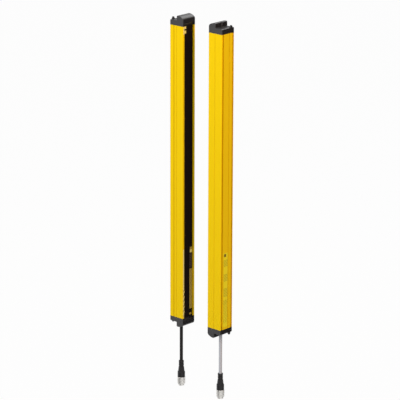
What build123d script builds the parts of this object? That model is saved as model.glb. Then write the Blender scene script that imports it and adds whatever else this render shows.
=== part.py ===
from build123d import *
import math
import os

# Safety light curtain: an emitter bar and a receiver bar that face each other.
#
# Both bars are the same build: an extruded aluminium profile with a dark window in its front,
# a moulded cap on each end, the optics inside, and a short lead with a round M12 connector.
# Each bar is modelled about its own middle: X points from the mounting face to the window,
# Y goes across the window and Z goes up. The receiver keeps that direction, and the emitter
# is turned half a turn, so that the two windows face each other along X.
# The origin is the middle of the emitter's mounting face. All sizes are in millimetres.

os.makedirs("parts", exist_ok=True)

# Bars
BAR_WIDTH = 35.0
BAR_DEPTH = 35.0
HOUSING_LENGTH = 600.0
BAR_SPACING = 102.2
FIT = 0.15

# Housing profile
SIDE_WALL = 2.0
REAR_WALL = 2.0
CORNER_RADIUS = 1.6
LIP_THICKNESS = 3.0
LIP_REACH = 2.0
LEDGE_THICKNESS = 1.5
LEDGE_REACH = 2.5
BRACKET_GROOVE_WIDTH = 3.4
BRACKET_GROOVE_DEPTH = 2.2
BRACKET_GROOVE_FROM_SIDE = 1.9
SIDE_GROOVE_WIDTH = 1.8
SIDE_GROOVE_DEPTH = 0.9
SIDE_GROOVE_FROM_REAR = 10.0
DRILL_LINE_WIDTH = 1.0
DRILL_LINE_DEPTH = 0.3
DRILL_LINE_FROM_REAR = 17.8
REAR_LINE_WIDTH = 1.2
REAR_LINE_DEPTH = 0.6
REAR_LINE_FROM_MIDDLE = 3.8

# Cap screws and the channels that they cut their thread in
SCREW_RADIUS = 1.5
SCREW_GRIP = 8.0
SCREW_CLEARANCE = 0.05
SCREW_HEAD_RADIUS = 2.75
SCREW_HEAD_HEIGHT = 2.0
SCREW_FROM_REAR = 7.5
SCREW_FROM_SIDE = 7.0
CHANNEL_WALL = 1.65

# Window and its seals
WINDOW_THICKNESS = 2.0
SEAL_THICKNESS = 1.5
SEAL_WIDTH = 2.0

# End caps
CAP_HEIGHT = 20.0
STEP_HEIGHT = 10.5
NOSE_HEIGHT = 14.4
NOSE_RADIUS = 5.0
BLOCK_DEPTH = 17.5
BLOCK_TOP_FLAT = 3.0
CAP_WALL = 3.2
CAP_ROOF = 2.6
CAP_RIM = 1.0
CAP_OUTER_RADIUS = 2.2
CAP_INNER_RADIUS = 0.8
CAP_BEVEL = 0.9
SCOOP_STRAIGHT = 2.4
SCOOP_HEIGHT = 5.8
SCREW_RECESS_DEPTH = 2.3
PILLAR_WALL = 1.8
GASKET_THICKNESS = 1.2
PORT_FROM_BLOCK = 2.5
PORT_RADIUS = 4.6
RELIEF_RADIUS = 4.0
LUG_FROM_SIDE = 7.5
LUG_BASE_WIDTH = 6.4
LUG_TIP_WIDTH = 2.8
LUG_THICKNESS = 2.8
LUG_HEIGHT = 4.2
LUG_INSET = 0.4
PLUG_RIM_HEIGHT = 0.9

# Optics
BEAM_PITCH = 20.0
LENS_PLATE = 1.3
LENS_RADIUS = 6.8
LENS_CROWN = 1.6
TUNNEL_WIDTH = 14.0
TUNNEL_HEIGHT = 15.0
DIODE_SIZE = 3.2
DIODE_HEIGHT = 2.0

# Boards and what they carry
BOARD_THICKNESS = 1.6
BOARD_END_GAP = 2.0
CHIP_WIDTH = 6.0
CHIP_LENGTH = 9.0
CHIP_HEIGHT = 1.4
CHIP_PITCH = 110.0
CONTROL_BOARD_LENGTH = 60.0
CONTROL_BOARD_ABOVE_BLOCK = 4.0
TERMINAL_BLOCK_WIDTH = 9.0
TERMINAL_BLOCK_DEPTH = 5.0
TERMINAL_BLOCK_HEIGHT = 8.0
EARTH_SPRING_THICKNESS = 0.4
EARTH_SPRING_HEIGHT = 8.0
EARTH_SPRING_HEEL = 1.8
EARTH_SPRING_TOE = 1.8
EARTH_SPRING_BOW = 3.6
EARTH_SPRING_GAP = 0.9
LAMP_SIZE = 1.6
LAMP_HEIGHT = 1.0
LAMP_PITCH = 8.0
LAMP_COUNT = 5
LAMP_FROM_TUNNEL = 3.2
LIGHT_GUIDE_WIDTH = 2.4

# Lead
CABLE_DIAMETER = 6.6
CABLE_LENGTH = 87.5
WIRE_DIAMETER = 1.1
WIRE_COUNT = 5

# M12 connector
BOOT_RING_RADIUS = 5.2
BOOT_GROOVE_RADIUS = 4.2
BOOT_RING_HEIGHT = 4.6
BOOT_GROOVE_HEIGHT = 1.7
BOOT_RINGS = 2
GRIP_HEIGHT = 11.0
GRIP_TOP_RADIUS = 5.5
GRIP_BOTTOM_RADIUS = 6.7
GRIP_SIDES = 8
COLLAR_RADIUS = 7.6
COLLAR_HEIGHT = 10.6
NUT_RADIUS = 8.0
NUT_HEIGHT = 14.6
NUT_GAP = 0.3
NUT_FLUTES = 12
NUT_FLUTE_RADIUS = 1.3
NUT_FLUTE_DEPTH = 0.5
NUT_CLEARANCE = 0.25
THREAD_RADIUS = 6.0
THREAD_LENGTH = 3.9
NECK_RADIUS = 4.8
FLANGE_RADIUS = 5.7
FLANGE_HEIGHT = 1.4
FLANGE_FROM_COLLAR = 6.0
CARRIER_INSET = 0.5
CARRIER_WALL = 0.7
CARRIER_WELL = 8.0
KEY_WIDTH = 1.2
PIN_RADIUS = 0.5
PIN_CIRCLE_RADIUS = 2.2
PIN_COUNT = 5
PIN_STAND = 6.5
SEAL_RING_THICKNESS = 0.6

# Places that follow from the driving dimensions
half_width = BAR_WIDTH / 2
half_depth = BAR_DEPTH / 2
housing_end = HOUSING_LENGTH / 2
cavity_side = half_width - SIDE_WALL
cavity_rear = -half_depth + REAR_WALL
lip_edge = cavity_side - LIP_REACH
window_front = half_depth - LIP_THICKNESS
window_rear = window_front - WINDOW_THICKNESS
seal_rear = window_rear - SEAL_THICKNESS
ledge_rear = seal_rear - LEDGE_THICKNESS
lens_front = ledge_rear - FIT
lens_rear = lens_front - LENS_PLATE
screw_x = -half_depth + SCREW_FROM_REAR
screw_y = half_width - SCREW_FROM_SIDE
channel_bore = SCREW_RADIUS + SCREW_CLEARANCE
channel_radius = channel_bore + CHANNEL_WALL
board_rear = screw_x + channel_radius + FIT
board_front = board_rear + BOARD_THICKNESS
block_rear = half_depth - BLOCK_DEPTH
port_x = block_rear - PORT_FROM_BLOCK
cable_radius = CABLE_DIAMETER / 2
beam_count = int(HOUSING_LENGTH // BEAM_PITCH)
beam_places = [(i - (beam_count - 1) / 2) * BEAM_PITCH for i in range(beam_count)]
board_bottom = -housing_end + BOARD_END_GAP
step_bottom = -housing_end - STEP_HEIGHT
boot_top = step_bottom - CABLE_LENGTH


def span(x0, x1, y0, y1, z0, z1):
    """A block between two corners."""
    middle = Pos((x0 + x1) / 2, (y0 + y1) / 2, (z0 + z1) / 2)
    return middle * Box(x1 - x0, y1 - y0, z1 - z0)


def area(x0, x1, y0, y1):
    """A rectangle of the bar's cross-section."""
    return Pos((x0 + x1) / 2, (y0 + y1) / 2) * Rectangle(x1 - x0, y1 - y0)


def pillar(sketch, z0, z1):
    """A cross-section drawn out from one height to another."""
    return Pos(0, 0, z0) * extrude(sketch, z1 - z0)


def turned(points, x=0.0):
    """A solid turned about an upright axis, from points of radius and height."""
    outline = make_face(Plane.XZ * Polyline(*points, close=True))
    return Pos(x, 0, 0) * revolve(outline, Axis.Z)


def rod(start, end, radius):
    """A six-sided bar between two points."""
    axis = Vector(*end) - Vector(*start)
    return extrude(Plane(origin=start, z_dir=axis) * RegularPolygon(radius, 6), axis.length)


def pair(x0, x1, y0, y1):
    """Two rectangles, one on each side of the bar's middle."""
    return [area(x0, x1, y0, y1), area(x0, x1, -y1, -y0)]


def housing_section():
    """The extruded profile: walls, lips, ledges, screw channels and outer grooves."""
    rear = -half_depth
    section = RectangleRounded(BAR_DEPTH, BAR_WIDTH, CORNER_RADIUS)
    section -= area(cavity_rear, window_front, -cavity_side, cavity_side)
    section -= area(window_front, half_depth, -lip_edge, lip_edge)
    section += pair(ledge_rear, seal_rear, cavity_side - LEDGE_REACH, cavity_side)

    groove_inner = half_width - BRACKET_GROOVE_FROM_SIDE - BRACKET_GROOVE_WIDTH
    thick_front = rear + BRACKET_GROOVE_DEPTH + REAR_WALL
    section += pair(rear + CORNER_RADIUS, thick_front, groove_inner - REAR_WALL, cavity_side)
    section += pair(cavity_rear, screw_x, screw_y - CHANNEL_WALL, screw_y + CHANNEL_WALL)
    section += [Pos(screw_x, side * screw_y) * Circle(channel_radius) for side in (-1, 1)]
    section -= [Pos(screw_x, side * screw_y) * Circle(channel_bore) for side in (-1, 1)]
    section -= pair(rear, rear + BRACKET_GROOVE_DEPTH, groove_inner, groove_inner + BRACKET_GROOVE_WIDTH)

    line = rear + DRILL_LINE_FROM_REAR
    half_line = DRILL_LINE_WIDTH / 2
    section -= pair(line - half_line, line + half_line, half_width - DRILL_LINE_DEPTH, half_width)
    groove = rear + SIDE_GROOVE_FROM_REAR
    section -= area(groove, groove + SIDE_GROOVE_WIDTH, -half_width, -half_width + SIDE_GROOVE_DEPTH)
    line = -REAR_LINE_FROM_MIDDLE
    half_line = REAR_LINE_WIDTH / 2
    section -= area(rear, rear + REAR_LINE_DEPTH, line - half_line, line + half_line)
    return section


def housing():
    return pillar(housing_section(), -housing_end, housing_end)


def front_window():
    side = cavity_side - FIT
    return span(window_rear, window_front, -side, side, -housing_end, housing_end)


def window_seals():
    """Two strips that the ledges press against the window's edges."""
    side = cavity_side - FIT
    strip = span(seal_rear, window_rear, side - SEAL_WIDTH, side, -housing_end, housing_end)
    return Compound([strip, mirror(strip, Plane.XZ)])


def cap_body():
    """The cap seen from the side, drawn out across the bar: step, block and rounded nose."""
    flat_end = (block_rear + BLOCK_TOP_FLAT, CAP_HEIGHT)
    nose = (half_depth, NOSE_HEIGHT)
    front = Line((half_depth, 0), nose)
    crown = TangentArc(flat_end, nose, tangent=(1, 0))
    rest = Polyline(
        flat_end,
        (block_rear, CAP_HEIGHT),
        (block_rear, STEP_HEIGHT),
        (-half_depth, STEP_HEIGHT),
        (-half_depth, 0),
        (half_depth, 0),
    )
    side_view = make_face(Wire([front, crown] + rest.edges()))
    for corner, radius in (
        (nose, NOSE_RADIUS),
        ((block_rear, CAP_HEIGHT), CAP_OUTER_RADIUS),
        ((-half_depth, STEP_HEIGHT), CAP_OUTER_RADIUS),
        ((block_rear, STEP_HEIGHT), CAP_INNER_RADIUS),
    ):
        side_view = fillet(side_view.vertices().sort_by_distance(corner)[0], radius)
    body = extrude(Plane.XZ * side_view, half_width, both=True)
    on_sides = body.edges().filter_by(lambda e: abs(abs(e.center().Y) - half_width) < FIT)
    return chamfer(on_sides.filter_by(lambda e: e.center().Z > FIT), CAP_BEVEL)


def cap_lug():
    """The tapered lug on the rear edge of the step, on one side only."""
    middle = -half_width + LUG_FROM_SIDE
    face = Polyline(
        (middle - LUG_BASE_WIDTH / 2, STEP_HEIGHT - LUG_INSET),
        (middle + LUG_BASE_WIDTH / 2, STEP_HEIGHT - LUG_INSET),
        (middle + LUG_TIP_WIDTH / 2, STEP_HEIGHT + LUG_HEIGHT),
        (middle - LUG_TIP_WIDTH / 2, STEP_HEIGHT + LUG_HEIGHT),
        close=True,
    )
    rear = Pos(-half_depth + LUG_INSET, 0, 0)
    return rear * extrude(make_face(Plane.YZ * face), LUG_THICKNESS)


def cap_hollow():
    """The hollow under the cap's roof, around the square bosses of the screws and the port."""
    rear = -half_depth + CAP_WALL
    hollow = area(rear, window_front - CAP_WALL, -half_width + CAP_WALL, half_width - CAP_WALL)
    screw_boss = 2 * (SCREW_HEAD_RADIUS + PILLAR_WALL)
    port_boss = 2 * (PORT_RADIUS + PILLAR_WALL)
    for side in (-1, 1):
        hollow -= Pos(screw_x, side * screw_y) * Rectangle(screw_boss, screw_boss)
    hollow -= Pos(port_x, 0) * Rectangle(port_boss, port_boss)
    return pillar(hollow, 0, STEP_HEIGHT - CAP_ROOF)


def seal_seat(clearance):
    """The area inside the cap's rim, less a clearance all round."""
    inset = CAP_RIM + clearance
    return area(-half_depth + inset, window_front - inset, -half_width + inset, half_width - inset)


def cap():
    """One moulding serves both ends. It is drawn here as the top cap, on the plane z = 0."""
    body = cap_body()
    scoop = Polyline(
        (window_front, 0),
        (half_depth, 0),
        (half_depth, SCOOP_HEIGHT),
        (window_front, SCOOP_STRAIGHT),
        close=True,
    )
    body -= extrude(make_face(Plane.XZ * scoop), lip_edge, both=True)
    body += cap_lug()
    body -= cap_hollow()
    body -= pillar(seal_seat(0), 0, GASKET_THICKNESS)
    body -= Pos(port_x, 0) * pillar(Circle(PORT_RADIUS), 0, STEP_HEIGHT)
    body -= Pos(port_x, 0) * pillar(Circle(RELIEF_RADIUS), STEP_HEIGHT, CAP_HEIGHT)
    for side in (-1, 1):
        place = Pos(screw_x, side * screw_y)
        body -= place * pillar(Circle(SCREW_RADIUS + FIT), 0, STEP_HEIGHT)
        seat = STEP_HEIGHT - SCREW_RECESS_DEPTH
        body -= place * pillar(Circle(SCREW_HEAD_RADIUS + FIT), seat, STEP_HEIGHT)
    return body


def gasket():
    """The flat seal in the cap's rebate."""
    ring = seal_seat(FIT)
    ring -= area(
        -half_depth + CAP_WALL,
        window_front - CAP_WALL,
        -half_width + CAP_WALL,
        half_width - CAP_WALL,
    )
    return pillar(ring, 0, GASKET_THICKNESS)


def cap_screws():
    """Two pan head screws, from the step down into the profile's channels."""
    seat = STEP_HEIGHT - SCREW_RECESS_DEPTH
    screw = pillar(Circle(SCREW_HEAD_RADIUS), seat, seat + SCREW_HEAD_HEIGHT)
    screw += pillar(Circle(SCREW_RADIUS), -SCREW_GRIP, seat)
    return Compound([Pos(screw_x, side * screw_y, 0) * screw for side in (-1, 1)])


def port_plug():
    """The blank in the top cap's cable port, with a raised rim."""
    shank = PORT_RADIUS - FIT
    rim = RELIEF_RADIUS - FIT
    rim_top = STEP_HEIGHT + PLUG_RIM_HEIGHT
    outline = [
        (0, GASKET_THICKNESS),
        (shank, GASKET_THICKNESS),
        (shank, STEP_HEIGHT),
        (rim, STEP_HEIGHT),
        (rim, rim_top),
        (0, rim_top),
    ]
    return turned(outline, port_x)


def cable_grommet():
    """The rubber bush that the lead passes through, flush with the step."""
    bush = pillar(Circle(PORT_RADIUS - FIT), GASKET_THICKNESS, STEP_HEIGHT)
    bush -= pillar(Circle(cable_radius), GASKET_THICKNESS, STEP_HEIGHT)
    return Pos(port_x, 0, 0) * bush


def on_top(shape):
    """Puts a piece of the cap on the upper end of the housing."""
    return Pos(0, 0, housing_end) * shape


def on_bottom(shape):
    """Turns a piece of the cap over and puts it on the lower end of the housing."""
    return Pos(0, 0, -housing_end) * mirror(shape, Plane.XY)


def lens_strip():
    """One clear moulding with a crowned lens for each beam."""
    side = cavity_side - 2 * FIT
    strip = span(lens_rear, lens_front, -side, side, -housing_end, housing_end)
    ball_radius = (LENS_RADIUS**2 + LENS_CROWN**2) / (2 * LENS_CROWN)
    middle = lens_front + LENS_CROWN - ball_radius
    crown_area = make_face(
        Plane.XZ
        * Wire(
            [
                ThreePointArc(
                    (lens_front, -LENS_RADIUS),
                    (middle + ball_radius, 0),
                    (lens_front, LENS_RADIUS),
                ),
                Line((lens_front, LENS_RADIUS), (lens_front, -LENS_RADIUS)),
            ]
        )
    )
    crown = extrude(crown_area, LENS_RADIUS, both=True)
    return strip + [Pos(0, 0, z) * crown for z in beam_places]


def lamp_places():
    """The heights of the indicator lamps, from the board's lower end upwards."""
    first = board_bottom + LAMP_PITCH / 2 + TERMINAL_BLOCK_HEIGHT
    return [first + i * LAMP_PITCH for i in range(LAMP_COUNT)]


def optics_carrier():
    """A black frame with one light tunnel for each beam, and a slot for the light guide."""
    side = cavity_side - 2 * FIT
    carrier = span(board_front, lens_rear, -side, side, board_bottom, housing_end - BOARD_END_GAP)
    tunnel = span(
        board_front, lens_rear, -TUNNEL_WIDTH / 2, TUNNEL_WIDTH / 2, -TUNNEL_HEIGHT / 2, TUNNEL_HEIGHT / 2
    )
    carrier -= [Pos(0, 0, z) * tunnel for z in beam_places]
    return carrier - light_guide_room(FIT, board_front)


def light_guide_room(clearance, rear):
    """The space beside the tunnels for the light guide, with a clearance round it."""
    middle = TUNNEL_WIDTH / 2 + LAMP_FROM_TUNNEL
    half = LIGHT_GUIDE_WIDTH / 2 + clearance
    heights = lamp_places()
    low = heights[0] - LAMP_PITCH / 2 - clearance
    high = heights[-1] + LAMP_PITCH / 2 + clearance
    return span(rear, lens_rear, middle - half, middle + half, low, high)


def light_guide():
    return light_guide_room(0, board_front + LAMP_HEIGHT)


def indicator_lamps():
    """Small lamps on the board's front, behind the light guide."""
    middle = TUNNEL_WIDTH / 2 + LAMP_FROM_TUNNEL
    half = LAMP_SIZE / 2
    lamp = span(board_front, board_front + LAMP_HEIGHT, middle - half, middle + half, -half, half)
    return Compound([Pos(0, 0, z) * lamp for z in lamp_places()])


def circuit_board():
    side = cavity_side - 2 * FIT
    return span(board_rear, board_front, -side, side, board_bottom, housing_end - BOARD_END_GAP)


def beam_diodes():
    """One flat diode package on the board behind each tunnel."""
    half = DIODE_SIZE / 2
    diode = span(board_front, board_front + DIODE_HEIGHT, -half, half, -half, half)
    return Compound([Pos(0, 0, z) * diode for z in beam_places])


def signal_chips():
    """The chips on the rear of the board, between the screw channels."""
    count = int(HOUSING_LENGTH // CHIP_PITCH)
    half = CHIP_WIDTH / 2
    chip = span(board_rear - CHIP_HEIGHT, board_rear, -half, half, -CHIP_LENGTH / 2, CHIP_LENGTH / 2)
    first = housing_end - BOARD_END_GAP - CHIP_PITCH / 2
    return Compound([Pos(0, 0, first - i * CHIP_PITCH) * chip for i in range(count - 1)])


def terminal_block():
    """The block on the rear of the board where the lead's wires land."""
    half = TERMINAL_BLOCK_WIDTH / 2
    top = board_bottom + TERMINAL_BLOCK_HEIGHT
    return span(board_rear - TERMINAL_BLOCK_DEPTH, board_rear, -half, half, board_bottom, top)


def control_board_bottom():
    return board_bottom + TERMINAL_BLOCK_HEIGHT + CONTROL_BOARD_ABOVE_BLOCK


def control_board():
    """The board that stands on edge behind the long one, with one chip on its side."""
    low = control_board_bottom()
    half = BOARD_THICKNESS / 2
    board = span(cavity_rear + 2 * FIT, board_rear, -half, half, low, low + CONTROL_BOARD_LENGTH)
    middle_x = (cavity_rear + board_rear) / 2
    middle_z = low + CONTROL_BOARD_LENGTH / 2
    half_chip = CHIP_WIDTH / 2
    chip = span(
        middle_x - half_chip,
        middle_x + half_chip,
        -half - CHIP_HEIGHT,
        -half,
        middle_z - CHIP_LENGTH / 2,
        middle_z + CHIP_LENGTH / 2,
    )
    return board + chip


def earth_spring():
    """A bent strip from the control board to the rear wall, which earths the profile."""
    low = control_board_bottom() + EARTH_SPRING_HEIGHT
    skin = EARTH_SPRING_THICKNESS / 2
    side = BOARD_THICKNESS / 2 + skin
    toe = cavity_rear + skin
    heel = toe + EARTH_SPRING_BOW
    toe_end = screw_y - channel_radius - EARTH_SPRING_GAP
    path = Polyline(
        (heel + EARTH_SPRING_HEEL, side),
        (heel, side),
        (toe, toe_end - EARTH_SPRING_TOE),
        (toe, toe_end),
    )
    return pillar(trace(path, EARTH_SPRING_THICKNESS), low, low + EARTH_SPRING_HEIGHT)


def lead_wires():
    """The lead's end inside the bar: its jacket in the grommet, and its wires to the block."""
    jacket_end = -housing_end - GASKET_THICKNESS
    jacket = Pos(port_x, 0) * pillar(Circle(cable_radius), step_bottom, jacket_end)
    block_middle = board_rear - TERMINAL_BLOCK_DEPTH / 2
    pitch = TERMINAL_BLOCK_WIDTH / WIRE_COUNT
    start_pitch = CABLE_DIAMETER * 0.7 / WIRE_COUNT
    wires = []
    for i in range(WIRE_COUNT):
        offset = i - (WIRE_COUNT - 1) / 2
        start = (port_x, offset * start_pitch, jacket_end - WIRE_DIAMETER)
        end = (block_middle, offset * pitch, board_bottom + WIRE_DIAMETER)
        wires.append(rod(start, end, WIRE_DIAMETER / 2))
    block_room = span(-half_depth, half_depth, -half_width, half_width, board_bottom, 0)
    return jacket + wires - block_room


def cable():
    """The lead that hangs from the bottom cap, straight under the connector's weight."""
    return Pos(port_x, 0) * pillar(Circle(cable_radius), boot_top, step_bottom)


grip_top = boot_top - BOOT_RINGS * (BOOT_RING_HEIGHT + BOOT_GROOVE_HEIGHT)
collar_top = grip_top - GRIP_HEIGHT
collar_bottom = collar_top - COLLAR_HEIGHT
nut_top = collar_bottom - NUT_GAP
nut_bottom = nut_top - NUT_HEIGHT
thread_end = nut_bottom - THREAD_LENGTH
flange_top = collar_bottom - FLANGE_FROM_COLLAR
flange_bottom = flange_top - FLANGE_HEIGHT
carrier_bottom = thread_end + CARRIER_INSET


def connector_body():
    """The moulded body: ringed boot, eight-sided tapered grip, collar, neck and flange."""
    outline = [(0, boot_top)]
    height = boot_top
    for _ in range(BOOT_RINGS):
        outline += [(BOOT_RING_RADIUS, height), (BOOT_RING_RADIUS, height - BOOT_RING_HEIGHT)]
        height -= BOOT_RING_HEIGHT
        outline += [(BOOT_GROOVE_RADIUS, height), (BOOT_GROOVE_RADIUS, height - BOOT_GROOVE_HEIGHT)]
        height -= BOOT_GROOVE_HEIGHT
    boot = turned(outline + [(0, height)])
    grip = loft([
        Pos(0, 0, grip_top) * RegularPolygon(GRIP_TOP_RADIUS, GRIP_SIDES),
        Pos(0, 0, collar_top) * RegularPolygon(GRIP_BOTTOM_RADIUS, GRIP_SIDES),
    ])
    outline = [
        (0, collar_top),
        (COLLAR_RADIUS, collar_top),
        (COLLAR_RADIUS, collar_bottom),
        (NECK_RADIUS, collar_bottom),
        (NECK_RADIUS, flange_top),
        (FLANGE_RADIUS, flange_top),
        (FLANGE_RADIUS, flange_bottom),
        (0, flange_bottom),
    ]
    body = boot + grip + turned(outline)
    return Pos(port_x, 0, 0) * body


def coupling_nut():
    """The metal nut that turns on the neck: fluted ring above, M12 thread below."""
    bore = NECK_RADIUS + NUT_CLEARANCE
    groove = FLANGE_RADIUS + NUT_CLEARANCE
    groove_top = flange_top + NUT_CLEARANCE
    outline = [
        (bore, nut_top),
        (NUT_RADIUS, nut_top),
        (NUT_RADIUS, nut_bottom),
        (THREAD_RADIUS, nut_bottom),
        (THREAD_RADIUS, thread_end),
        (bore, thread_end),
        (bore, flange_bottom - NUT_CLEARANCE),
        (groove, flange_bottom - NUT_CLEARANCE),
        (groove, groove_top),
        (bore, groove_top),
    ]
    nut = turned(outline)
    flute_middle = NUT_RADIUS + NUT_FLUTE_RADIUS - NUT_FLUTE_DEPTH
    flute = Pos(flute_middle, 0) * pillar(Circle(NUT_FLUTE_RADIUS), nut_bottom, nut_top)
    nut -= [Rot(0, 0, 360 / NUT_FLUTES * i) * flute for i in range(NUT_FLUTES)]
    return Pos(port_x, 0, 0) * nut


def contact_carrier():
    """The plug's insert: a cup with a key, which holds the pins."""
    radius = NECK_RADIUS - FIT
    well = radius - CARRIER_WALL
    floor = carrier_bottom + CARRIER_WELL
    outline = [
        (0, flange_bottom),
        (radius, flange_bottom),
        (radius, carrier_bottom),
        (well, carrier_bottom),
        (well, floor),
        (0, floor),
    ]
    cup = turned(outline)
    key = span(
        well - CARRIER_WALL, well + CARRIER_WALL / 2, -KEY_WIDTH / 2, KEY_WIDTH / 2, carrier_bottom, floor
    )
    return Pos(port_x, 0, 0) * (cup + key)


def contact_pins():
    """The pins that stand in the carrier's well, one of them in the middle."""
    floor = carrier_bottom + CARRIER_WELL
    pin = pillar(RegularPolygon(PIN_RADIUS, 8), floor - PIN_STAND, floor)
    places = [(0, 0)]
    for i in range(PIN_COUNT - 1):
        angle = math.radians(45 + 360 / (PIN_COUNT - 1) * i)
        places.append((PIN_CIRCLE_RADIUS * math.cos(angle), PIN_CIRCLE_RADIUS * math.sin(angle)))
    return Compound([Pos(port_x + x, y, 0) * pin for x, y in places])


def seal_ring():
    """The ring in the gap under the collar, which keeps dust out of the nut."""
    outer = NECK_RADIUS + SEAL_RING_THICKNESS
    low = collar_bottom - NUT_GAP / 2
    outline = [(NECK_RADIUS, collar_bottom), (outer, collar_bottom), (outer, low), (NECK_RADIUS, low)]
    return turned(outline, port_x)


def bar_pieces(diodes_name):
    """Every piece of one bar, by name."""
    moulding = cap()
    seal = gasket()
    screws = cap_screws()
    return {
        "housing": housing(),
        "front_window": front_window(),
        "window_seals": window_seals(),
        "top_cap": on_top(moulding),
        "bottom_cap": on_bottom(moulding),
        "top_gasket": on_top(seal),
        "bottom_gasket": on_bottom(seal),
        "top_cap_screws": on_top(screws),
        "bottom_cap_screws": on_bottom(screws),
        "port_plug": on_top(port_plug()),
        "cable_grommet": on_bottom(cable_grommet()),
        "lens_strip": lens_strip(),
        "optics_carrier": optics_carrier(),
        "light_guide": light_guide(),
        "indicator_lamps": indicator_lamps(),
        "circuit_board": circuit_board(),
        diodes_name: beam_diodes(),
        "signal_chips": signal_chips(),
        "terminal_block": terminal_block(),
        "control_board": control_board(),
        "earth_spring": earth_spring(),
        "lead_wires": lead_wires(),
        "cable": cable(),
        "connector_body": connector_body(),
        "coupling_nut": coupling_nut(),
        "contact_carrier": contact_carrier(),
        "contact_pins": contact_pins(),
        "seal_ring": seal_ring(),
    }


emitter_place = Pos(-half_depth, 0, 0) * Rot(0, 0, 180)
receiver_place = Pos(-half_depth - BAR_SPACING, 0, 0)

for bar, place, diodes_name in (
    ("receiver", receiver_place, "photodiodes"),
    ("emitter", emitter_place, "infrared_diodes"),
):
    for name, piece in bar_pieces(diodes_name).items():
        export_step(place * piece, f"parts/{bar}_{name}.step")
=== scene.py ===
import math

import bmesh
import bpy
from mathutils import Matrix, Vector


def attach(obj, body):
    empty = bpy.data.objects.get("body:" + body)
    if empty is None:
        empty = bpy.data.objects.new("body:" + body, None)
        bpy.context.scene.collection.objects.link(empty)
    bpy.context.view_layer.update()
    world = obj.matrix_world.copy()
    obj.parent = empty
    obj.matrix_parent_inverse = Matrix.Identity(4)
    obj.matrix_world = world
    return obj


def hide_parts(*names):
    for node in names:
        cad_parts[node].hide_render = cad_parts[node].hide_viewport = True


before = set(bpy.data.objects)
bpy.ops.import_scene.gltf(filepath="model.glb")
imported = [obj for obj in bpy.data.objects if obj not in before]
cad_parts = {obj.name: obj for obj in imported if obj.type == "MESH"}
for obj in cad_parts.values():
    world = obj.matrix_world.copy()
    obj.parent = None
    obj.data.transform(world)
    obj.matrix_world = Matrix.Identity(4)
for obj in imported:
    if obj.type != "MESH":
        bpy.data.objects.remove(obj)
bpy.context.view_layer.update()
bars = ("receiver", "emitter")

# Housings: extruded aluminium, sawn to length and powder coated in safety yellow.
# The coat is smooth with a faint orange peel, darkened in the grooves by painted shade,
# and its tone varies a little along the lines that the die left in the long direction.

# Places on the bars are in metres, and from_rear is measured in from each bar's rear face.
pair_middle = -0.0686
half_width = 0.0175
rear_groove_reach = (0.0003, 0.0026)
side_groove_band = (0.009, 0.020)
side_skin = half_width - 0.0012
side_face = half_width - 0.0001
# How far the painted shade in the grooves darkens the coat towards deep orange.
painted_groove_shade_share = 0.45


class Field:
    """A value or colour that varies over a surface. Arithmetic on it adds the Math nodes."""

    def __init__(self, tree, socket=None):
        self.tree = tree
        self.socket = socket

    def node(self, kind, settings=None, inputs=None, output=0):
        """One node of any kind, set up first and then joined, and one of its outputs."""
        made = self.tree.nodes.new(kind)
        for name, value in (settings or {}).items():
            setattr(made, name, value)
        for name, value in (inputs or {}).items():
            if isinstance(value, Field):
                self.tree.links.new(value.socket, made.inputs[name])
            else:
                made.inputs[name].default_value = value
        return Field(self.tree, made.outputs[output] if made.outputs else None)

    def math(self, operation, *values):
        return self.node("ShaderNodeMath", {"operation": operation}, dict(enumerate(values)))

    def through(self, operation):
        """This value after an operation that takes one value, such as FLOOR."""
        return self.math(operation, self)

    def __add__(self, other):
        return self.math("ADD", self, other)

    def __radd__(self, other):
        return self.math("ADD", other, self)

    def __sub__(self, other):
        return self.math("SUBTRACT", self, other)

    def __mul__(self, other):
        return self.math("MULTIPLY", self, other)

    def __rmul__(self, other):
        return self.math("MULTIPLY", other, self)

    def __lt__(self, other):
        return self.math("LESS_THAN", self, other)

    def __gt__(self, other):
        return self.math("GREATER_THAN", self, other)

    def blend(self, low, high):
        """The colour that goes from low to high as this value goes from 0 to 1."""
        inputs = {0: self, 6: low, 7: high}
        return self.node("ShaderNodeMix", {"data_type": "RGBA"}, inputs, output=2)

    def noise(self, scale, detail):
        """Cloudy noise read at this place, from 0 to 1."""
        inputs = {"Vector": self, "Scale": scale, "Detail": detail, "Roughness": 0.5}
        return self.node("ShaderNodeTexNoise", {}, inputs)

    def stretched(self, x, y, z):
        """This place with each direction scaled by its own factor."""
        return self.node("ShaderNodeMapping", {}, {"Vector": self, "Scale": (x, y, z)})

    def axis(self, name):
        """One coordinate of this place."""
        return self.node("ShaderNodeSeparateXYZ", {}, {"Vector": self}, output=name)


def colour(red, green, blue):
    """A shader colour from the 0 to 255 values that a colour card gives."""
    linear = []
    for value in (red, green, blue):
        share = value / 255
        linear.append(share / 12.92 if share <= 0.04045 else ((share + 0.055) / 1.055) ** 2.4)
    return (*linear, 1.0)


def new_finish(name):
    """An empty material, and the place on the object that its patterns are read at."""
    material = bpy.data.materials.new(name)
    material.use_nodes = True
    material.node_tree.nodes.clear()
    place = Field(material.node_tree).node("ShaderNodeTexCoord", output="Object")
    return material, place


def close_finish(place, sockets, relief=None, depth=0.0):
    """Joins the surface shader to the material, with a relief of that depth in metres."""
    if relief is not None:
        bump = place.node("ShaderNodeBump", {}, {"Height": relief, "Distance": depth, "Strength": 1.0})
        sockets = {**sockets, "Normal": bump}
    shader = place.node("ShaderNodeBsdfPrincipled", {}, sockets)
    place.node("ShaderNodeOutputMaterial", {}, {"Surface": shader})


def between(value, low, high):
    """One where the value lies between two bounds, and nought elsewhere."""
    return (value > low) * (value < high)


def dress_node(node_name, finish):
    """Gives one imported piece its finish."""
    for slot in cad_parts[node_name].material_slots:
        slot.link = "OBJECT"
        slot.material = finish


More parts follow.
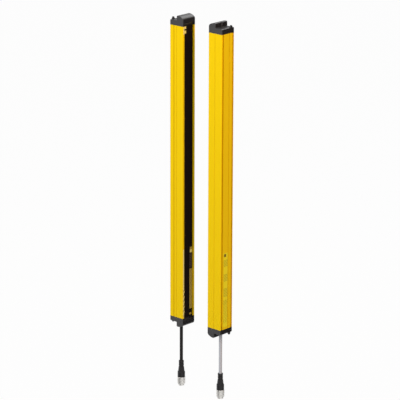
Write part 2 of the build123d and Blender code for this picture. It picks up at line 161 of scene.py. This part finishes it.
def dress(name, finish):
    """Gives both bars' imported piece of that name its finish."""
    for bar in bars:
        dress_node(f"{bar}_{name}", finish)


yellow_paint, place = new_finish("yellow_paint")
drawn = place.stretched(260, 260, 3).noise(1.0, 3)
peel = place.noise(900, 2)
cloud = place.noise(24, 3)
from_middle = place.axis("X") - pair_middle
from_rear = -1 * from_middle.through("ABSOLUTE") - pair_middle
sideways = place.axis("Y").through("ABSOLUTE")
# Painted shade: the rear and side grooves are masked here, and their paint is darkened towards a deep
# orange to stand for the shade in them.
rear_groove_shade = between(from_rear, *rear_groove_reach) * (sideways < side_skin)
side_groove_shade = between(from_rear, *side_groove_band) * between(sideways, side_skin, side_face)
coat = (cloud * 0.6 + drawn * 0.4).blend(colour(245, 207, 4), colour(249, 216, 8))
painted_groove_shade = (rear_groove_shade + side_groove_shade) * painted_groove_shade_share
close_finish(
    place,
    {
        "Base Color": painted_groove_shade.blend(coat, colour(196, 140, 0)),
        "Roughness": 0.34 + 0.14 * drawn,
        "Specular IOR Level": 0.08,
    },
    peel * 0.7 + drawn * 0.3,
    0.00004,
)
dress("housing", yellow_paint)

# Windows: dark acrylic that only infrared passes, slid in from the end of the profile.
# It is polished, a warm brownish black, with the faint flow marks of an extruded sheet.

dark_window, place = new_finish("dark_window")
flow = place.stretched(90, 90, 1.5).noise(1.0, 2)
close_finish(
    place,
    {
        "Base Color": flow.blend(colour(27, 22, 19), colour(34, 29, 26)),
        "Roughness": 0.16 + 0.08 * flow,
        "Specular IOR Level": 0.05,
    },
    flow,
    0.00002,
)
dress("front_window", dark_window)

# Rubber: the window seals and cap gaskets, pressed between metal and plastic, the bush round
# each cable and the ring behind each nut. It is black and matt, with a fine chalky bloom.


def grained_finish(name, noise, dark, light, roughness, depth=0.0, more=None):
    """A finish whose colour, sheen and relief all follow one noise of a scale and a detail."""
    material, place = new_finish(name)
    grain = place.noise(*noise)
    smoothest, spread = roughness
    sockets = {
        "Base Color": grain.blend(colour(*dark), colour(*light)),
        "Roughness": smoothest + spread * grain,
        **(more or {}),
    }
    close_finish(place, sockets, grain if depth else None, depth)
    return material


seal_rubber = grained_finish("seal_rubber", (700, 3), (22, 22, 22), (38, 38, 38), (0.7, 0.2), 0.00003)
for name in ("window_seals", "top_gasket", "bottom_gasket", "cable_grommet", "seal_ring"):
    dress(name, seal_rubber)

# End caps: black glass-filled nylon, injection moulded with a fine spark-eroded grain.
# Cloudy scuffs make patches of the faces a little greyer and less smooth.

cap_plastic, place = new_finish("cap_plastic")
grain = place.noise(1500, 2)
scuff = place.noise(120, 4)
close_finish(
    place,
    {
        "Base Color": scuff.blend(colour(25, 25, 28), colour(33, 33, 36)),
        "Roughness": 0.32 + 0.12 * grain + 0.06 * scuff,
        "Specular IOR Level": 0.68,
    },
    grain,
    0.00005,
)
dress("top_cap", cap_plastic)
dress("bottom_cap", cap_plastic)

# Cap screws: steel pan head screws with a hexagon socket, blackened and lightly oiled.
# Each sits in a round recess of the cap and cuts its thread in the profile's channel.

screw_across = {"receiver": -0.1297, "emitter": -0.0075}
screw_side = 0.0105
screw_tip = 0.2920
head_seat = 0.3082
head_radius = 0.00275
head_height = 0.0020
head_round = 0.0006
socket_sides = 6
socket_radius = 0.00145
socket_depth = 0.0013
thread_radius = 0.0015
thread_root = 0.82 * thread_radius
thread_turns = 9
thread_pitch = 0.0008
plain_radius = 0.9 * thread_radius
round_steps = 48
shank_steps = 20
smooth_below = math.radians(35)
merge_distance = 1e-7


def lathe(outline, steps=round_steps):
    """A closed shape turned about the Z axis, from points of radius and height."""
    shape = bmesh.new()
    points = [shape.verts.new((radius, 0, height)) for radius, height in outline]
    edges = [shape.edges.new(pair) for pair in zip(points, points[1:])]
    bmesh.ops.spin(
        shape,
        geom=points + edges,
        cent=(0, 0, 0),
        axis=(0, 0, 1),
        angle=math.tau,
        steps=steps,
        use_merge=True,
    )
    bmesh.ops.remove_doubles(shape, verts=shape.verts, dist=merge_distance)
    return shape


def moved(shape, x, y, z, upside_down=False):
    """The shape at its place on the bar, turned over first for a bottom end."""
    if upside_down:
        bmesh.ops.rotate(shape, verts=shape.verts, matrix=Matrix.Rotation(math.pi, 3, "X"))
    bmesh.ops.translate(shape, verts=shape.verts, vec=(x, y, z))
    return shape


def mesh_object(name, shape):
    """A new object from a shape, which is used up."""
    mesh = bpy.data.meshes.new(name)
    shape.to_mesh(mesh)
    shape.free()
    made = bpy.data.objects.new(name, mesh)
    bpy.context.scene.collection.objects.link(made)
    return made


def piece(name, shapes, finish, body="root"):
    """A finished piece from one or more shapes, riding on its body."""
    whole = bmesh.new()
    for shape in shapes:
        part = bpy.data.meshes.new("part")
        shape.to_mesh(part)
        shape.free()
        whole.from_mesh(part)
        bpy.data.meshes.remove(part)
    bmesh.ops.recalc_face_normals(whole, faces=whole.faces)
    made = mesh_object(name, whole)
    made.data.shade_smooth()
    made.data.set_sharp_from_angle(angle=smooth_below)
    made.data.materials.append(finish)
    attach(made, body)
    return made


def screw_head():
    """A round-edged head with its seat at z = 0 and a hexagon socket in its top."""
    outline = [
        (head_radius, 0),
        (head_radius, head_height - head_round),
        (head_radius - 0.3 * head_round, head_height - 0.3 * head_round),
        (head_radius - head_round, head_height),
        (1.3 * socket_radius, head_height),
    ]
    shape = lathe(outline)
    rim = [edge for edge in shape.edges if edge.is_boundary and edge.verts[0].co.z > head_height / 2]
    hexagon = bmesh.ops.create_circle(shape, segments=socket_sides, radius=socket_radius)["verts"]
    bmesh.ops.translate(shape, verts=hexagon, vec=(0, 0, head_height))
    sides = list({edge for vert in hexagon for edge in vert.link_edges})
    bmesh.ops.subdivide_edges(shape, edges=sides, cuts=round_steps // socket_sides - 1)
    sides = list({edge for edge in shape.edges if edge.is_wire})
    bmesh.ops.bridge_loops(shape, edges=rim + sides)
    pit = bmesh.ops.extrude_edge_only(shape, edges=sides)["geom"]
    low = [item for item in pit if isinstance(item, bmesh.types.BMVert)]
    bmesh.ops.translate(shape, verts=low, vec=(0, 0, -socket_depth))
    above_seat = (head_height - socket_depth) / 2
    pit_rim = [edge for edge in shape.edges if edge.is_boundary and edge.verts[0].co.z > above_seat]
    bmesh.ops.edgeloop_fill(shape, edges=pit_rim)
    return shape


def screw_shank():
    """The shank under the head, with a thread profile from its tip up."""
    tip = screw_tip - head_seat
    outline = [(0, tip)]
    for turn in range(thread_turns):
        low = tip + turn * thread_pitch
        outline += [(thread_root, low), (thread_radius, low + thread_pitch / 2)]
    outline += [(plain_radius, tip + thread_turns * thread_pitch), (plain_radius, 0), (head_radius, 0)]
    return lathe(outline, shank_steps)


blackened_steel = grained_finish(
    "blackened_steel", (420, 3), (70, 70, 72), (120, 120, 122), (0.32, 0.18), 0.00002, {"Metallic": 0.9}
)
for bar in bars:
    for end, turned_over in (("top", False), ("bottom", True)):
        height = -head_seat if turned_over else head_seat
        shapes = []
        for side in (-screw_side, screw_side):
            for made in (screw_head(), screw_shank()):
                shapes.append(moved(made, screw_across[bar], side, height, turned_over))
        screws = piece(f"{bar}_{end}_screws_fine", shapes, blackened_steel)
        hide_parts(f"{bar}_{end}_cap_screws")

# Port plugs: black rubber plugs in the unused cable port of the top caps, pushed in from
# outside, with a rounded rim and a dished middle for the thumb.

port_across = {"receiver": -0.1222, "emitter": -0.0150}
port_face = 0.3105
plug_outline = [
    (0.0, -0.0093),
    (0.00400, -0.0093),
    (0.00445, -0.0088),
    (0.00445, 0.0004),
    (0.00425, 0.0007),
    (0.00385, 0.0009),
    (0.00290, 0.0009),
    (0.00255, 0.0006),
    (0.00230, 0.0000),
    (0.0, -0.0002),
]
for bar in bars:
    shape = moved(lathe(plug_outline), port_across[bar], 0, port_face)
    plug = piece(f"{bar}_port_plug_fine", [shape], seal_rubber)
    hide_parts(f"{bar}_port_plug")

# Optics: a clear strip of moulded lenses in front of a black frame with a tunnel for each
# beam, and a frosted light guide beside it. All of it is out of sight behind the window.

clear_lens = grained_finish(
    "clear_lens",
    (80, 1),
    (214, 222, 226),
    (232, 236, 238),
    (0.05, 0.05),
    more={"Transmission Weight": 0.85, "IOR": 1.49},
)
dress("lens_strip", clear_lens)

carrier_plastic = grained_finish(
    "carrier_plastic", (1200, 2), (18, 18, 19), (28, 28, 30), (0.6, 0.2), 0.00003
)
dress("optics_carrier", carrier_plastic)

lamp_plastic = grained_finish(
    "lamp_plastic",
    (900, 2),
    (214, 226, 208),
    (236, 240, 232),
    (0.3, 0.2),
    more={"Transmission Weight": 0.4},
)
dress("light_guide", lamp_plastic)
dress("indicator_lamps", lamp_plastic)

# Boards: green glass-epoxy boards with tinned tracks, and what they carry: dark diodes, black
# chips, a pale terminal block and the sprung plate that earths the board to the profile.

board_green, place = new_finish("board_green")
weave = place.noise(600, 1)
tracks = place.stretched(500, 500, 40).noise(1.0, 1)
close_finish(
    place,
    {
        "Base Color": (tracks > 0.55).blend(colour(18, 84, 50), colour(30, 112, 66)),
        "Roughness": 0.35 + 0.15 * weave,
    },
    weave,
    0.00002,
)
dress("circuit_board", board_green)
dress("control_board", board_green)

diode_resin = grained_finish("diode_resin", (500, 1), (40, 34, 52), (62, 52, 74), (0.12, 0.08))
dress_node("receiver_photodiodes", diode_resin)
dress_node("emitter_infrared_diodes", diode_resin)

chip_black = grained_finish("chip_black", (1800, 1), (26, 26, 27), (40, 40, 41), (0.55, 0.2), 0.00002)
dress("signal_chips", chip_black)

terminal_plastic = grained_finish(
    "terminal_plastic", (900, 2), (212, 208, 196), (228, 225, 215), (0.4, 0.15), 0.00002
)
dress("terminal_block", terminal_plastic)

spring_steel, place = new_finish("spring_steel")
rolled = place.stretched(40, 40, 900).noise(1.0, 2)
close_finish(
    place,
    {
        "Base Color": rolled.blend(colour(176, 176, 172), colour(206, 206, 202)),
        "Metallic": 1.0,
        "Roughness": 0.22 + 0.16 * rolled,
    },
)
dress("earth_spring", spring_steel)

# Labels: matt printed film, die cut with round corners and stuck down by hand. Their print
# is kept to fields of colour, to ticks and to rows of dashes where small type would be.

film_thickness = 0.00012
film_corner = 0.0006
emitter_rear = 0.0
receiver_lip = -0.1022
receiver_window = -0.1052
legend_pitch = 0.0106
legend_foot = -0.2890
legend_height = 0.0044
legend_count = 5
legends_across = (-0.0134, -0.0092)
top_legends_across = (-0.0133, -0.0056)
top_legends = ((0.2850, 0.2908), (0.2940, 0.2990))
row_shift = 0.37
row_gap = 0.42
dash_gap = 0.2
tick_share = 0.45
highest_tick = -0.236
pale_field = (-0.2869, -0.2484)
dark_fields = ((-0.1694, -0.1552), (-0.1998, -0.1846), (-0.2322, -0.2139), (-0.2484, -0.2382))


def label(name, x, across, up, finish):
    """A film on a face that looks along +X, between two widths and two heights."""
    shape = bmesh.new()
    bmesh.ops.create_grid(shape, x_segments=1, y_segments=1, size=0.5)
    bmesh.ops.rotate(shape, verts=shape.verts, matrix=Matrix.Rotation(math.radians(90), 3, "Y"))
    width = across[1] - across[0]
    height = up[1] - up[0]
    bmesh.ops.scale(shape, verts=shape.verts, vec=(1, width, height))
    middle = (x + film_thickness, sum(across) / 2, sum(up) / 2)
    bmesh.ops.translate(shape, verts=shape.verts, vec=middle)
    bmesh.ops.bevel(
        shape,
        geom=list(shape.verts),
        affect="VERTICES",
        offset=min(film_corner, 0.4 * width),
        segments=4,
        profile=0.5,
        material=-1,
    )
    rim = bmesh.ops.extrude_edge_only(shape, edges=list(shape.edges))["geom"]
    below = [item for item in rim if isinstance(item, bmesh.types.BMVert)]
    bmesh.ops.translate(shape, verts=below, vec=(-film_thickness, 0, 0))
    return piece(name, [shape], finish)


def dashes(place, pitch, length):
    """Plain dashes in rows that run up the bar, each row shifted a little from the last."""
    across = place.axis("Y") * (1 / pitch)
    along = place.axis("Z") * (1 / length) + across.through("FLOOR") * row_shift
    return (across.through("FRACT") > row_gap) * (along.through("FRACT") > dash_gap)


def rear_print(place):
    """The dashes on the emitter's rear label, in four dark fields and a paler one."""
    up = place.axis("Z")
    fields = 0.6 * between(up, *pale_field)
    for field in dark_fields:
        fields = fields + between(up, *field)
    return fields * dashes(place, 0.0022, 0.0062) * 0.5


def ticks(place):
    """Short ticks at the pitch of the lamp legends, up to the highest one."""
    up = place.axis("Z")
    steps = up * (1 / legend_pitch)
    return (steps.through("FRACT") < tick_share) * (up < highest_tick) * 0.55


def film_finish(name, scale, dark, light, ink, marks):
    """A matt film with marks in an ink, from a function that gives their share at a place."""
    material, place = new_finish(name)
    worn = place.noise(scale, 3)
    film = worn.blend(colour(*dark), colour(*light))
    close_finish(
        place,
        {
            "Base Color": marks(place).blend(film, colour(*ink)),
            "Roughness": 0.45 + 0.15 * worn,
            "Specular IOR Level": 0.2,
        },
    )
    return material


film_yellow = film_finish("film_yellow", 140, (244, 231, 22), (251, 240, 36), (104, 98, 40), rear_print)
mark_ink = grained_finish("mark_ink", (900, 2), (104, 90, 10), (134, 116, 14), (0.4, 0.2))
label("emitter_rear_label", emitter_rear, (-0.0090, 0.0028), (-0.2950, -0.1410), film_yellow)
label("emitter_rear_mark", film_thickness, (-0.0076, -0.0022), (-0.1490, -0.1430), mark_ink)

film_pale = film_finish("film_pale", 200, (246, 232, 132), (252, 242, 156), (160, 138, 56), ticks)
label("receiver_lip_label", receiver_lip, (-0.0166, -0.0136), (-0.2970, -0.1540), film_pale)
label("receiver_lip_tab", receiver_lip, (-0.0162, -0.0137), (0.2840, 0.2995), film_pale)
for number in range(legend_count):
    foot = legend_foot + legend_pitch * number
    name = f"receiver_lamp_legend_{number + 1}"
    label(name, receiver_window, legends_across, (foot, foot + legend_height), film_pale)
for number, legend in enumerate(top_legends):
    label(f"receiver_top_legend_{number + 1}", receiver_window, top_legends_across, legend, film_pale)

film_olive = film_finish(
    "film_olive",
    260,
    (198, 174, 84),
    (214, 190, 96),
    (84, 76, 34),
    lambda place: dashes(place, 0.0019, 0.0080) * 0.55,
)
film_grey = film_finish(
    "film_grey",
    260,
    (14, 12, 11),
    (22, 19, 17),
    (112, 96, 86),
    lambda place: dashes(place, 0.0024, 0.0050),
)
window_films = (
    ("tab", (0.0064, 0.0122), (-0.1590, -0.1540), film_olive),
    ("mark", (0.0064, 0.0122), (-0.1660, -0.1594), film_pale),
    ("print", (0.0056, 0.0128), (-0.1980, -0.1674), film_grey),
    ("label", (0.0054, 0.0131), (-0.2842, -0.1996), film_olive),
    ("foot_mark", (0.0050, 0.0112), (-0.2968, -0.2928), film_olive),
)
for name, across, up, finish in window_films:
    label(f"receiver_window_{name}", receiver_window, across, up, finish)

# Leads: round jackets that hang straight from the bottom caps under the connectors' weight,
# black on the receiver and light grey on the emitter. The PVC has a soft sheen.

cable_radius = 0.0033
cable_top = -port_face
cable_end = -0.398


def jacket_finish(name, dark, light):
    """Cable jacket with a soft cloudiness along the lead and a fine skin."""
    material, place = new_finish(name)
    soft = place.stretched(1, 1, 0.4).noise(300, 3)
    skin = place.noise(1600, 2)
    close_finish(
        place,
        {
            "Base Color": soft.blend(dark, light),
            "Roughness": 0.5 + 0.14 * skin,
            "Specular IOR Level": 0.2,
        },
        skin * 0.5 + soft * 0.5,
        0.00003,
    )
    return material


jackets = {
    "receiver": jacket_finish("black_jacket", colour(28, 28, 29), colour(38, 38, 39)),
    "emitter": jacket_finish("grey_jacket", colour(186, 193, 202), colour(202, 209, 218)),
}
wire_plastic = grained_finish("wire_plastic", (200, 2), (60, 50, 42), (96, 84, 70), (0.4, 0.1))
dress("lead_wires", wire_plastic)

for bar in bars:
    curve = bpy.data.curves.new(f"{bar}_lead", "CURVE")
    curve.dimensions = "3D"
    curve.bevel_depth = cable_radius
    curve.bevel_resolution = 6
    curve.use_fill_caps = True
    spline = curve.splines.new("NURBS")
    heights = (cable_top, (cable_top + cable_end) / 2, cable_end)
    spline.points.add(len(heights) - 1)
    for point, height in zip(spline.points, heights):
        point.co = (port_across[bar], 0, height, 1)
    spline.order_u = 3
    spline.use_endpoint_u = True
    spline.resolution_u = 12
    lead = bpy.data.objects.new(f"{bar}_lead", curve)
    bpy.context.scene.collection.objects.link(lead)
    curve.materials.append(jackets[bar])
    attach(lead, "root")
    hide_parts(f"{bar}_cable")

# Connectors: a black polyurethane grip moulded over the cable's end, with a nickel plated
# brass nut that turns on its neck, and five gilt pins in a black insert.

grip_rounding = 0.0005
nut_rounding = 0.00025
rounding_steps = 3
rounded_above = math.radians(28)
flat_below = math.radians(1)
seam_distance = 1e-6

grip_plastic, place = new_finish("grip_plastic")
grain = place.noise(1300, 2)
rub = place.noise(260, 3)
close_finish(
    place,
    {
        "Base Color": rub.blend(colour(26, 26, 28), colour(36, 36, 40)),
        "Roughness": 0.3 + 0.2 * grain,
        "Specular IOR Level": 0.35,
    },
    grain,
    0.00004,
)
dress("contact_carrier", grip_plastic)

nickel = grained_finish(
    "nickel", (500, 3), (218, 216, 211), (234, 232, 228), (0.24, 0.14), 0.00001, {"Metallic": 1.0}
)
gold_contact = grained_finish(
    "gold_contact", (900, 2), (214, 168, 84), (232, 190, 104), (0.2, 0.1), more={"Metallic": 1.0}
)
dress("contact_pins", gold_contact)


def rounded_copy(node_name, name, finish, body, width):
    """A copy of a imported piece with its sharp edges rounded, standing for that piece."""
    shape = bmesh.new()
    shape.from_mesh(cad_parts[node_name].data)
    bmesh.ops.remove_doubles(shape, verts=shape.verts, dist=seam_distance)
    bmesh.ops.dissolve_limit(shape, angle_limit=flat_below, verts=shape.verts, edges=shape.edges)
    made = piece(name, [shape], finish, body)
    rounding = made.modifiers.new("rounded edges", "BEVEL")
    rounding.width = width
    rounding.segments = rounding_steps
    rounding.limit_method = "ANGLE"
    rounding.angle_limit = rounded_above
    rounding.use_clamp_overlap = True
    rounding.harden_normals = True
    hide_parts(node_name)
    return made


for bar in bars:
    grip = rounded_copy(
        f"{bar}_connector_body", f"{bar}_connector_grip", grip_plastic, "root", grip_rounding
    )
    nut = rounded_copy(
        f"{bar}_coupling_nut", f"{bar}_fluted_nut", nickel, f"{bar}_nut", nut_rounding
    )

# Studio: a white floor and sky that look white but light the bars weakly, and three soft lamps:
# on the long sides, on the emitter's rear face in a warm tone, and from behind on the caps.
# Black cards, which only reflections see, keep the caps' and nuts' darker sides dark.

floor_height = -0.56
floor_size = 20
floor_share = 0.97
ambient = 0.55


def shown_share(field):
    """One on the rays that show a surface, and nought on those that only light others."""
    seen = field.node("ShaderNodeLightPath", output="Is Camera Ray")
    mirrored = field.node("ShaderNodeLightPath", output="Is Glossy Ray")
    passed = field.node("ShaderNodeLightPath", output="Is Transmission Ray")
    return field.math("MINIMUM", seen + mirrored + passed, 1.0)


def soft_lamp(name, position, target, size, power, tint=(1.0, 1.0, 1.0)):
    """A square lamp that faces a point."""
    light = bpy.data.lights.new(name, "AREA")
    light.shape = "SQUARE"
    light.size = size
    light.energy = power
    light.color = tint
    lamp = bpy.data.objects.new(name, light)
    lamp.location = position
    aim = Vector(target) - Vector(position)
    lamp.rotation_euler = aim.to_track_quat("-Z", "Y").to_euler()
    bpy.context.scene.collection.objects.link(lamp)


def black_card(name, middle, width, height, turn, upright=True):
    """A black card that only reflections see, upright or flat on the floor."""
    shape = bmesh.new()
    bmesh.ops.create_grid(shape, x_segments=1, y_segments=1, size=0.5)
    bmesh.ops.scale(shape, verts=shape.verts, vec=(width, height, 1))
    if upright:
        bmesh.ops.rotate(shape, verts=shape.verts, matrix=Matrix.Rotation(math.radians(90), 3, "X"))
    bmesh.ops.rotate(shape, verts=shape.verts, matrix=Matrix.Rotation(math.radians(turn), 3, "Z"))
    bmesh.ops.translate(shape, verts=shape.verts, vec=middle)
    card = mesh_object(name, shape)
    card.visible_camera = False
    card.visible_diffuse = False
    card.visible_shadow = False
    card.visible_transmission = False
    card.data.materials.append(flag_black)


floor_shape = bmesh.new()
bmesh.ops.create_grid(floor_shape, x_segments=1, y_segments=1, size=floor_size)
bmesh.ops.translate(floor_shape, verts=floor_shape.verts, vec=(0, 0, floor_height))
floor = mesh_object("floor", floor_shape)

floor_white, place = new_finish("floor_white")
bright = place.node("ShaderNodeEmission", {}, {"Color": (1, 1, 1, 1), "Strength": 1.0})
matt = place.node("ShaderNodeBsdfDiffuse", {}, {"Color": (0.56, 0.56, 0.56, 1)})
mixed = {0: shown_share(place) * floor_share, 1: matt, 2: bright}
surface = place.node("ShaderNodeMixShader", {}, mixed)
place.node("ShaderNodeOutputMaterial", {}, {"Surface": surface})
floor.data.materials.append(floor_white)

world = bpy.data.worlds.new("studio")
bpy.context.scene.world = world
world.use_nodes = True
world.node_tree.nodes.clear()
sky = Field(world.node_tree)
strength = ambient + (1 - ambient) * shown_share(sky)
background = sky.node("ShaderNodeBackground", {}, {"Strength": strength})
sky.node("ShaderNodeOutputWorld", {}, {"Surface": background})

soft_lamp("side_lamp", (-0.4, -1.5, 1.3), (-0.07, 0, 0.1), 1.0, 21)
soft_lamp("rear_lamp", (1.15, -0.40, 1.0), (-0.07, 0, 0.1), 0.7, 12.5, (1.0, 0.62, 0.40))
soft_lamp("back_lamp", (-0.5, 1.7, 1.5), (-0.07, 0, 0.2), 1.0, 12)

flag_black, place = new_finish("flag_black")
close_finish(place, {"Base Color": (0.002, 0.002, 0.002, 1), "Roughness": 1.0, "Specular IOR Level": 0.0})
black_card("cap_flag", (0.35, 0.40, 0.05), 0.7, 1.2, -45)
black_card("floor_flag", (0.21, 0.40, -0.555), 0.42, 0.42, -45, upright=False)
black_card("receiver_nut_flag", (-0.125, -0.244, -0.50), 0.26, 0.11, 0)
black_card("emitter_nut_flag", (0.041, -0.244, -0.50), 0.035, 0.11, 13)

# Camera: the photograph's long lens, from above the emitter's near rear corner.

lens = bpy.data.cameras.new("camera")
lens.lens = 223.254
lens.sensor_width = 36
lens.clip_end = 60
camera = bpy.data.objects.new("camera", lens)
camera.location = (3.11321, -3.44726, 1.36582)
camera.rotation_euler = [math.radians(turn) for turn in (73.238, -0.1795, 42.792)]
bpy.context.scene.collection.objects.link(camera)
bpy.context.scene.camera = camera
bpy.context.scene.view_settings.view_transform = "Standard"
